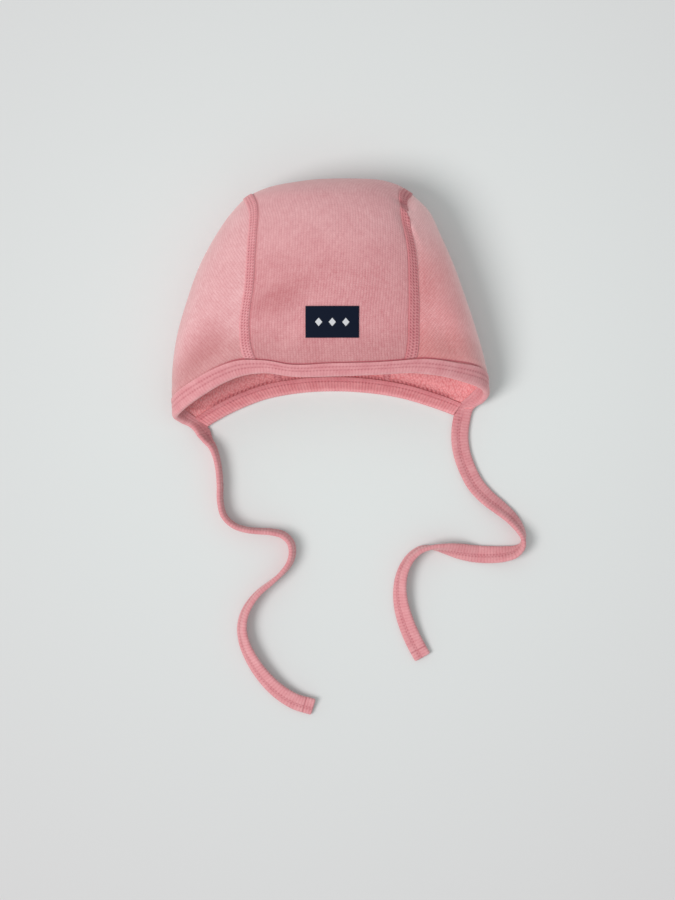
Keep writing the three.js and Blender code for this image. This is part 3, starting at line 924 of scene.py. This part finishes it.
# Spun cotton, as threads and as 1x1 rib: paler where it stands up, a painted highlight, deeper pink where
# light is caught, and deepest in creases and needle holes, painted shade.
def spun_cotton(name, deep, pale, dark, crests, sheen):
    material, tree = new_material(name)
    marks, _, _, crest, dark_share = corner_marks(tree)
    fuzz = add_node(
        tree,
        "ShaderNodeTexNoise",
        {"Vector": marks, "Scale": 0.9, "Detail": 3.0, "Roughness": 0.65},
        noise_dimensions="2D",
    )
    patch = add_node(
        tree,
        "ShaderNodeTexNoise",
        {"Vector": marks, "Scale": 0.15, "Detail": 2.0},
        noise_dimensions="2D",
    )
    shade = weighed(
        tree, (fuzz.outputs["Fac"], 0.5), (patch.outputs["Fac"], 0.5), (crest, crests)
    )
    middle = 0.5 + 0.6 * crests  # of the range of shade, which fuzz, patch and crests make up
    tint = add_node(
        tree, "ShaderNodeMapRange", {"Value": shade, "From Min": middle - 0.35, "From Max": middle + 0.35}
    )
    colour = dyed(tree, deep, (tint.outputs[0], "MIX", pale), (dark_share, "MIX", dark))
    cloth_face(tree, colour, fuzz.outputs["Fac"], 0.2, sheen)
    return material


# The right seam's thread is drawn deeper than the left's: the same thread, with painted shade on the side
# away from the light.
band_threads = (
    spun_cotton("cotton_cover_seam_left", "#d8878e", "#f0b1b5", "#a65560", 0.4, 0.4),
    spun_cotton("cotton_cover_seam_right", "#c6757c", "#e09a9e", "#9c4d58", 0.4, 0.4),
)
inner_threads = spun_cotton("cotton_cover_seam_inside", "#cf717b", "#f3aeb1", "#a84a58", 0.5, 0.2)
for name, side, start, *sizes in BANDS:
    points, marks = seam_band(side, start, *sizes)
    threads = inner_threads if start else band_threads[side]
    strip_piece(points, marks, name, threads, "cotton_knit")

# ---- Front binding ----
# A strip of 1x1 rib folded over the raw edge and sewn through with two needles. Its ribs run
# across the strip, over the fold, and inside the hat. Its ends run on as the ties.

RIB_PITCH, RINGS_A_RIB = 1.95, 6
RIB_ROUND = 0.7  # below 1, its valleys are narrower than its crests
FRONT_RIB_DEPTH = 0.07
FACE_ENDS = ((-25.6, -28.9), (210.1, 212.3))  # outer and inner angle at each end
LEG, LEG_GAP = 1.0, 0.15  # thickness of one leg of the strip, and its gap to the cloth
ROUND_HAT = WALL / 2 + LEG_GAP + LEG  # half the strip's thickness where it holds the cloth,
FLAT_TIE = 1.5  # and where it is sewn flat
NEEDLES = (7.9, 5.3)  # distance in from the fold
STITCH, STITCH_WIDTH, STITCH_HOLE = 2.1, 0.45, 0.55
# Depth, and darkness as painted shade, of the stitched line and of the needle holes beside it.
LINE_DEPTH, LINE_SHADE = 0.16, 0.2  # of the stitched line,
PRICK_DEPTH, PRICK_SHADE = 0.25, 0.5  # and of the needle holes besides
WALK_STEPS = 4
# Width of its leg inside the hat, by the angle round the opening.
INNER_LEG = [
    (-40, 10.6),
    (-24, 9.9),
    (-12, 10.2),
    (0, 11),
    (180, 11),
    (192, 9.3),
    (200, 8.4),
    (230, 8.6),
]


def rib_section(half, leg, closed):
    """Places round the strip's section, from the edge of its outer leg, over the fold to its
    inner leg and back between the legs: inward, height, the way each faces, and 1 on the outer
    leg, -1 on the inner one. A closed section's legs lie on each other as one flat strip."""
    radius = leg / 2
    tip = BAND_WIDTH - (half if closed else radius)
    # Places along a leg are closer together where the needles go through.
    flats = [1, 0.93, 0.86, 0.79, 0.72, 0.66, 0.61, 0.56, 0.5, 0.44, 0.37, 0.31, 0.25, 0.17, 0.08, 0]
    flats = np.array(flats)
    arc = np.radians([8, 32, 58, 82] if closed else [-60, -20, 25, 65])
    back = arc[::-1]
    end, middle = (half, 0) if closed else (radius, half - radius)
    turn = np.radians(np.linspace(90, 270, 11)[1:-1])
    inner = np.radians([270, 215, 145, 90])
    slit = 0.02 if closed else half - leg
    halfway, none = np.array([half + 0.7 * (tip - half)]), np.zeros(1)
    parts = [
        (tip + end * np.cos(arc), middle + end * np.sin(arc), np.cos(arc), np.sin(arc), 1),
        (half + flats * (tip - half), half + 0 * flats, 0 * flats, 1 + 0 * flats, 1),
        (half + half * np.cos(turn), half * np.sin(turn), np.cos(turn), np.sin(turn), 0),
        (half + flats[::-1] * (tip - half), -half + 0 * flats, 0 * flats, -1 + 0 * flats, -1),
        (tip + end * np.cos(back), -middle - end * np.sin(back), np.cos(back), -np.sin(back), -1),
        (halfway, none - slit, none, none, -1),
        (half + slit * np.cos(inner), slit * np.sin(inner), 0 * inner, 0 * inner, 0),
        (halfway, none + slit, none, none, 1),
    ]
    return np.concatenate([np.stack([*part[:4], part[4] + 0 * part[0]], -1) for part in parts])


def rib_crest(lengths):
    """Height of the ribs from 0 in a valley to 1 on a crest."""
    return np.abs(np.sin(math.pi * lengths / RIB_PITCH)) ** RIB_ROUND


def needle_rows(inward, facing, lengths, needles):
    """How deep the stitching lies in the strip, and how dark its line and needle holes are drawn: painted
    shade in the stitched groove and the holes.
    """
    line, dots = 0, 0
    for row, needle in enumerate(needles):
        across = np.exp(-(((inward - needle) / STITCH_WIDTH) ** 2)) * (abs(facing) > 0.5)
        off = from_nearest(lengths / STITCH + 0.5 * row) * STITCH
        line = np.maximum(line, across)
        dots = np.maximum(dots, across * np.exp(-((off / STITCH_HOLE) ** 2)))
    return LINE_DEPTH * line + PRICK_DEPTH * dots, LINE_SHADE * line + PRICK_SHADE * dots


def edge_place(angle):
    """Disc place of a point of the free edge."""
    return np.cos(np.radians(angle)), np.sin(np.radians(angle))


def form_walk(turn, inward, height, edge_along):
    """Points at a distance straight in from the free edge, walked over the form, and at
    a height off it."""
    ahead, behind = edge_place(turn + 1), edge_place(turn - 1)
    tangent = form_point(*ahead, edge_along) - form_point(*behind, edge_along)
    side, way = edge_place(turn)
    heading = unit(np.cross(tangent, form_normal(side, way, edge_along)))
    for _ in range(WALK_STEPS):
        right, up = form_slopes(side, way, edge_along)
        normal = np.cross(up, right)
        size = np.linalg.norm(normal, axis=-1, keepdims=True)
        stride = inward / WALK_STEPS / size[..., 0]
        normal = normal / size
        heading = unit(heading - normal * (heading * normal).sum(-1, keepdims=True))
        side = side + stride * (np.cross(up, heading) * normal).sum(-1)
        way = way + stride * (np.cross(heading, right) * normal).sum(-1)
    return form_point(side, way, edge_along) + form_normal(side, way, edge_along) * height[..., None]


JOIN, FLATTEN = 15.0, 13.0  # lengths over which the strip turns into the tie
FINE_RIB = 0.1  # under this depth the stitching hardly marks the inner leg
STITCHED_SOFTLY, PRICKED_SOFTLY = 0.6, 0.5  # by how much less
SWELL, SWELL_AT, SWELL_REACH = 0.22, 2.6, 1.8  # the fold is fullest here
STRETCH_FROM, STRETCH_TO = -0.3, 0.5  # past the last needle row the ribs are stretched
STRETCH_RIB, STRETCH_PALE = 0.5, 0.3  # flatter and paler
# Painted highlight on the rounded fold and on the leg's edge.
BORDER_HIGHLIGHT = 0.5  # how much the strip's borders catch the light
FOLD_HIGHLIGHT_AT, FOLD_HIGHLIGHT_WIDTH = 1.0, 0.8  # place and width of that at the fold,
EDGE_HIGHLIGHT_AT, EDGE_HIGHLIGHT_WIDTH = BAND_WIDTH - 0.4, 0.6  # and at the leg's edge
STRIP_TRACK = 600  # steps that its length is measured in,
STRIP_IN, STRIP_UP = 5.0, 1.0  # this far in from its fold and off the cloth


def binding_rings(ends, edge_along, widths, needles, rib_depth, plain, ties=(None, None)):
    """The rings of a length of binding, and their marks. widths holds the tables of its two
    legs' widths, plain how much deeper in colour it is past its last needle row, and ties for
    each end the frame of the tie that it runs into."""
    (start_out, start_in), (end_out, end_in) = ends

    def turns(share, across):
        start = start_out + (start_in - start_out) * across
        end = end_out + (end_in - end_out) * across
        return start * (1 - share) + end * share

    fine = np.linspace(0, 1, STRIP_TRACK)
    track = form_walk(turns(fine, 0.5), STRIP_IN + 0 * fine, STRIP_UP + 0 * fine, edge_along)
    lengths = run(track, 0)
    ribs = round(lengths[-1] / RIB_PITCH)
    rings = np.linspace(0, lengths[-1], ribs * RINGS_A_RIB + 1)
    share = np.interp(rings, lengths, fine)[:, None]
    rib_at = (rings * ribs * RIB_PITCH / lengths[-1])[:, None]
    flat = np.zeros_like(share)
    for tie, to_end in zip(ties, (rings, rings[-1] - rings)):
        if tie is not None:
            flat = np.maximum(flat, 1 - smooth_step(to_end, 0.0, FLATTEN)[:, None])
    lapped, joined = rib_section(ROUND_HAT, LEG, False), rib_section(FLAT_TIE, FLAT_TIE, True)
    section = lapped + flat[..., None] * (joined - lapped)
    inward, height = section[..., 0], section[..., 1]
    facing_in, facing_up, leg = np.moveaxis(section[..., 2:], -1, 0)
    deep, dark = needle_rows(inward, facing_up, rib_at, needles)
    last = min(needles)
    stretched = smooth_step(inward, last + STRETCH_FROM, last + STRETCH_TO) * (1 - flat)
    crest = rib_crest(rib_at) * (1 - STRETCH_RIB * stretched) + STRETCH_PALE * stretched
    softened = (leg < 0) * (rib_depth < FINE_RIB)
    dark = np.maximum(dark * (1 - PRICKED_SOFTLY * softened), plain * stretched)
    swell = SWELL * np.exp(-(((inward - SWELL_AT) / SWELL_REACH) ** 2)) * (1 - flat)
    outward = rib_depth * (crest - 1) - deep * (1 - STITCHED_SOFTLY * softened) + swell
    moved_in, height = inward + outward * facing_in, height + outward * facing_up
    outer, inner = (read(w, turns(share, 0.5))[..., 0] for w in widths)
    width = np.where(leg > 0, outer, np.where(leg < 0, inner, BAND_WIDTH))
    width = BAND_WIDTH + (width - BAND_WIDTH) * (1 - flat)
    stretch = (width - ROUND_HAT) / (BAND_WIDTH - ROUND_HAT)
    moved_in = np.where(moved_in > ROUND_HAT, ROUND_HAT + (moved_in - ROUND_HAT) * stretch, moved_in)
    across = np.clip(moved_in, 0, BAND_WIDTH) / BAND_WIDTH
    points = form_walk(turns(share, across), moved_in, height - WALL / 2, edge_along)
    for tie, to_end in zip(ties, (rings, rings[-1] - rings)):
        if tie is None:
            continue
        centre, travel, normal, binormal, fold_side = tie
        straight = (
            centre
            - travel * to_end[:, None, None]
            + normal * (fold_side * (BAND_WIDTH / 2 - moved_in))[..., None]
            + binormal * height[..., None]
        )
        weight = (1 - smooth_step(to_end, 0.0, JOIN))[:, None, None]
        points = points + weight * (straight - points)
    points[..., 2] = np.maximum(points[..., 2], 0)
    shows = (abs(facing_in) + abs(facing_up)) > 0.1
    at_fold = np.exp(-(((inward - FOLD_HIGHLIGHT_AT) / FOLD_HIGHLIGHT_WIDTH) ** 2))
    at_edge = np.exp(-(((EDGE_HIGHLIGHT_AT - inward) / EDGE_HIGHLIGHT_WIDTH) ** 2))
    crest = crest + BORDER_HIGHLIGHT * (at_fold + at_edge) * (leg >= 0) * (1 - flat)
    marks = np.stack([rib_at + 0 * inward, inward, crest * shows, dark], -1)
    return points, marks


OFF_BOARD = 0.1  # how far a tie stays clear of what it lies on
TIE_TRACK, TIE_STEP = 2000, 0.2  # steps that its length and its direction are measured in
# The ties' routes, whose first points the binding runs into: x, y and roll. Roll 0 lies flat as
# the binding does, and 90 stands on edge.
LEFT_TIE = [
    (-80, -78.8, 45),
    (-77.8, -82.6, 64),
    (-75.2, -86, 74),
    (-72.6, -92, 80),
    (-70.9, -99.5, 82),
    (-69.9, -110, 83),
    (-69.6, -122, 83),
    (-67.5, -130, 83),
    (-61.8, -136, 84),
    (-54.2, -138.9, 84),
    (-46, -139.9, 83),
    (-38, -140.4, 81),
    (-30.4, -142.3, 78),
    (-25.6, -147, 77),
    (-24.4, -153.3, 78),
    (-26.2, -160, 81),
    (-31, -166.3, 86),
    (-38, -172.5, 93),
    (-45.4, -178.5, 98),
    (-51.2, -185.6, 105),
    (-54.9, -193.2, 111),
    (-56.1, -200.8, 116),
    (-55, -208.8, 121),
    (-50.4, -219.7, 130),
    (-42.3, -231.6, 141),
    (-32.3, -241.3, 151),
    (-22.1, -247.4, 159),
    (-11.2, -250.6, 166),
]
RIGHT_TIE = [
    (82.3, -68.4, 0),
    (81.2, -75, 0),
    (80.9, -81, 0),
    (82.3, -91.5, 1),
    (85.6, -101, 4),
    (90.6, -110.6, 10),
    (97.9, -118.8, 23),
    (106.2, -125.6, 37),
    (113, -131.6, 49),
    (118, -138, 63),
    (120.5, -143.8, 80),
    (120, -149, 99),
    (115.7, -152.8, 124),
    (108.5, -154.4, 149),
    (99.8, -154.8, 168),
    (90.5, -154.3, 183),
    (81.5, -152.8, 206),
    (72.2, -151, 238),
    (63.4, -150.2, 266),
    (56.4, -151.5, 282),
    (50.8, -155.5, 290),
    (46.7, -161.3, 296),
    (44.1, -168.3, 303),
    (43.1, -176.5, 312),
    (43.8, -185.5, 323),
    (46.2, -195, 335),
    (50, -205, 345),
    (54.6, -214.2, 352),
    (57.6, -219.4, 355),
]


def tie_frames(rows):
    """A tie's length, and at even steps its middle line, travel, normal and binormal."""
    table = np.array(rows, float)
    chord = np.concatenate([[0], np.cumsum(np.linalg.norm(np.diff(table[:, :2], axis=0), axis=1))])
    keyed = np.column_stack([chord, table])

    def centre_at(at):
        x, y, roll = np.moveaxis(read(keyed, at), -1, 0)
        turned = np.radians(roll)
        rise = (BAND_WIDTH / 2 - FLAT_TIE) * abs(np.sin(turned)) + FLAT_TIE + OFF_BOARD
        return np.stack([x, y, rise], -1), turned

    fine = np.linspace(0, chord[-1], TIE_TRACK)
    track = run(centre_at(fine)[0], 0)
    ribs = round(track[-1] / RIB_PITCH)
    at = np.interp(np.linspace(0, track[-1], ribs * RINGS_A_RIB + 1), track, fine)
    centre, turned = centre_at(at)
    travel = unit(centre_at(at + TIE_STEP)[0] - centre_at(at - TIE_STEP)[0])
    level = unit(np.stack([travel[:, 1], -travel[:, 0], 0 * at], -1))
    normal = level * np.cos(turned)[:, None] + np.array([0, 0, 1]) * np.sin(turned)[:, None]
    normal = unit(normal - travel * (normal * travel).sum(-1, keepdims=True))
    return track[-1], centre, travel, normal, np.cross(travel, normal)


left_length, *left_frames = tie_frames(LEFT_TIE)
right_length, *right_frames = tie_frames(RIGHT_TIE)
joins = ([f[0] for f in right_frames] + [-1], [f[0] for f in left_frames] + [1])

tie_cotton = spun_cotton("cotton_rib", "#ce7d85", "#e8a9ad", "#ad5661", 0.25, 0.5)
FACE_WIDTHS = (LEG_WIDTHS, INNER_LEG)
rings, marks = binding_rings(
    FACE_ENDS, face_along, FACE_WIDTHS, NEEDLES, FRONT_RIB_DEPTH, 0.0, joins
)
front_rib = strip_piece(rings, marks, "front_rib", tie_cotton, "rib_binding", "front_binding")

# ---- Nape binding ----
# The same rib folded over the neck edge and sewn through with one needle. It is sewn on before
# the front binding, whose ends it meets, and is stretched less, so that its ribs stand higher.

NAPE_ENDS = ((217.5, 213.9), (321.7, 324.1))
NAPE_WIDTHS = ([(219, BAND_WIDTH), (321, BAND_WIDTH)], [(219, NAPE_INNER), (321, NAPE_INNER)])
NAPE_NEEDLES = (7.6,)
NAPE_RIB_DEPTH, NAPE_PLAIN = 0.19, 0.16
nape_cotton = spun_cotton("cotton_rib_nape", "#d67b83", "#f3abaf", "#b3525f", 0.34, 0.3)
rings, marks = binding_rings(
    NAPE_ENDS, nape_along, NAPE_WIDTHS, NAPE_NEEDLES, NAPE_RIB_DEPTH, NAPE_PLAIN
)
nape_rib = strip_piece(rings, marks, "nape_rib", nape_cotton, "rib_binding", "nape_binding")

# ---- Ties ----
# The front binding's own ends, of the same cotton rib. Each is folded and sewn flat with two
# needles, cut square and tacked across at the end.

TIE_RIB_DEPTH = 0.16
TIE_NEEDLES = (7.0, 5.8)
TACK, TACK_WIDTH = 5.8, 0.5  # stitching across the tie, from its end
# Depth of the tack's groove, and its darkness as painted shade.
TACK_DEPTH, TACK_SHADE = 0.3, 0.45
END_ROUND = 1.1  # length over which the cut end is rounded off,
END_NARROWS, END_THINS = 1.6, 0.75  # and by how much


def tie_rings(length, centre, normal, binormal, fold_side):
    """The rings of a tie along its middle line, and their marks."""
    section = rib_section(FLAT_TIE, FLAT_TIE, True)
    section = section[(abs(section[:, 2]) + abs(section[:, 3])) > 0.1]
    along = np.linspace(0, length, len(centre))[:, None]
    crest = rib_crest(along * round(length / RIB_PITCH) * RIB_PITCH / length)
    deep, dark = needle_rows(section[:, 0], section[:, 3], along, TIE_NEEDLES)
    to_end = length - along
    tack = np.exp(-(((to_end - TACK) / TACK_WIDTH) ** 2)) * (abs(section[:, 3]) > 0.5)
    outward = TIE_RIB_DEPTH * (crest - 1) - deep - TACK_DEPTH * tack
    inward = section[:, 0] + outward * section[:, 2]
    height = section[:, 1] + outward * section[:, 3]
    curl = 1 - np.sqrt(np.clip(1 - np.clip(1 - to_end / END_ROUND, 0, 1) ** 2, 0, 1))
    narrowed = 1 - curl * END_ROUND / BAND_WIDTH * END_NARROWS
    inward = BAND_WIDTH / 2 + (inward - BAND_WIDTH / 2) * narrowed
    height = height * (1 - END_THINS * curl)
    rings = (
        centre[:, None]
        + normal[:, None] * (fold_side * (BAND_WIDTH / 2 - inward))[..., None]
        + binormal[:, None] * height[..., None]
    )
    every = 0 * inward
    dark = np.maximum(dark, TACK_SHADE * tack)
    marks = np.stack([along + every, section[:, 0] + every, crest + every, dark], -1)
    return rings, marks


for name, length, frames, fold_side in (
    ("left", left_length, left_frames, 1),
    ("right", right_length, right_frames, -1),
):
    centre, _, normal, binormal = frames
    rings, marks = tie_rings(length, centre, normal, binormal, fold_side)
    tie = strip_piece(rings, marks, "tie_" + name + "_rib", tie_cotton, "rib_binding", "tie_" + name)

# ---- Label ----
# A label of woven polyester damask with its ends turned under. It is sewn to the centre panel
# over the forehead, all round, a little in from its edge.

LABEL_X, LABEL_Y, LABEL_WIDTH, LABEL_HEIGHT = 0.7, -11.2, 32.4, 19.0
LABEL_COLUMNS, LABEL_ROWS = 128, 76
LABEL_RISE, LABEL_THICK = 0.75, 0.55
EDGE_DROP, EDGE_WIDTH = 0.2, 0.5  # its edge is pulled down
SEAM_IN, SEAM_WIDTH, SEAM_DIP, SEAM_STITCH = 0.9, 0.4, 0.12, 1.9  # by the stitching
COCKLE, COCKLE_X, COCKLE_Y = 0.12, 5.1, 4.3  # and between its stitches it is uneven
NEWTON_STEPS = 8


def on_top(x, y):
    """Disc places of points of the top, by Newton's steps from halfway up it."""
    side, way = 0 * x, 0 * x + 0.5
    for _ in range(NEWTON_STEPS):
        here = form_point(side, way, cloth_along)
        across, up = form_slopes(side, way, cloth_along)
        scale = across[..., 0] * up[..., 1] - across[..., 1] * up[..., 0]
        dx, dy = x - here[..., 0], y - here[..., 1]
        side = side + (dx * up[..., 1] - dy * up[..., 0]) / scale
        way = way + (dy * across[..., 0] - dx * across[..., 1]) / scale
    return side, way


def label_place(across, along):
    u, v = (across - 0.5) * LABEL_WIDTH, (along - 0.5) * LABEL_HEIGHT
    disc = on_top(LABEL_X + u, LABEL_Y + v)
    edge = np.minimum(LABEL_WIDTH / 2 - abs(u), LABEL_HEIGHT / 2 - abs(v))
    stitch = 0.6 + 0.4 * np.cos(math.tau * (u + v) / SEAM_STITCH)
    sewn = np.exp(-(((edge - SEAM_IN) / SEAM_WIDTH) ** 2)) * stitch
    rise = LABEL_RISE - EDGE_DROP * np.exp(-((edge / EDGE_WIDTH) ** 2)) - SEAM_DIP * sewn
    rise = rise + COCKLE * np.sin(u / COCKLE_X + 0.4) * np.cos(v / COCKLE_Y)
    points = form_point(*disc, cloth_along) + form_normal(*disc, cloth_along) * rise[..., None]
    return points, np.stack([u, v, edge, 0 * u], -1)


# Woven polyester damask: dark navy, close and a little silky, with fine weft lines. Its motif,
# a row of three lozenges, is woven in with pale thread.
woven_label, tree = new_material("woven_damask")
_, aside, upward, _, _ = corner_marks(tree)
weft = add_node(tree, "ShaderNodeMath", {0: upward, 1: math.tau / 0.55}, operation="MULTIPLY")
weft_wave = add_node(tree, "ShaderNodeMath", {0: weft.outputs[0]}, operation="SINE")
spot = add_node(tree, "ShaderNodeMath", {0: aside, 1: 4.1}, operation="PINGPONG")
spot_y = add_node(tree, "ShaderNodeMath", {0: upward}, operation="ABSOLUTE")
spot_sum = weighed(tree, (spot.outputs[0], 1.15), (spot_y.outputs[0], 1.0))
spot_in = add_node(tree, "ShaderNodeMath", {0: spot_sum, 1: 2.5}, operation="LESS_THAN")
within = add_node(tree, "ShaderNodeMath", {0: aside}, operation="ABSOLUTE")
row_in = add_node(tree, "ShaderNodeMath", {0: within.outputs[0], 1: 11.0}, operation="LESS_THAN")
motif = add_node(
    tree, "ShaderNodeMath", {0: spot_in.outputs[0], 1: row_in.outputs[0]}, operation="MULTIPLY"
)
colour = dyed(tree, "#0e172a", (motif.outputs[0], "MIX", "#d5d7dc"))
relief = add_node(
    tree, "ShaderNodeBump", {"Height": weft_wave.outputs[0], "Distance": 0.0001, "Strength": 0.5}
)
face = add_node(
    tree,
    "ShaderNodeBsdfPrincipled",
    {"Base Color": colour, "Roughness": 0.8, "Specular IOR Level": 0.12, "Normal": relief.outputs[0]},
)
add_node(tree, "ShaderNodeOutputMaterial", {"Surface": face.outputs[0]})
bm = shaped_grid(LABEL_COLUMNS, LABEL_ROWS, label_place)
label_piece = finished(bm, "label_weave", [woven_label], "woven_label", "label")
label_wall = label_piece.modifiers.new("wall", "SOLIDIFY")
label_wall.thickness = LABEL_THICK * MM
label_wall.offset = -1
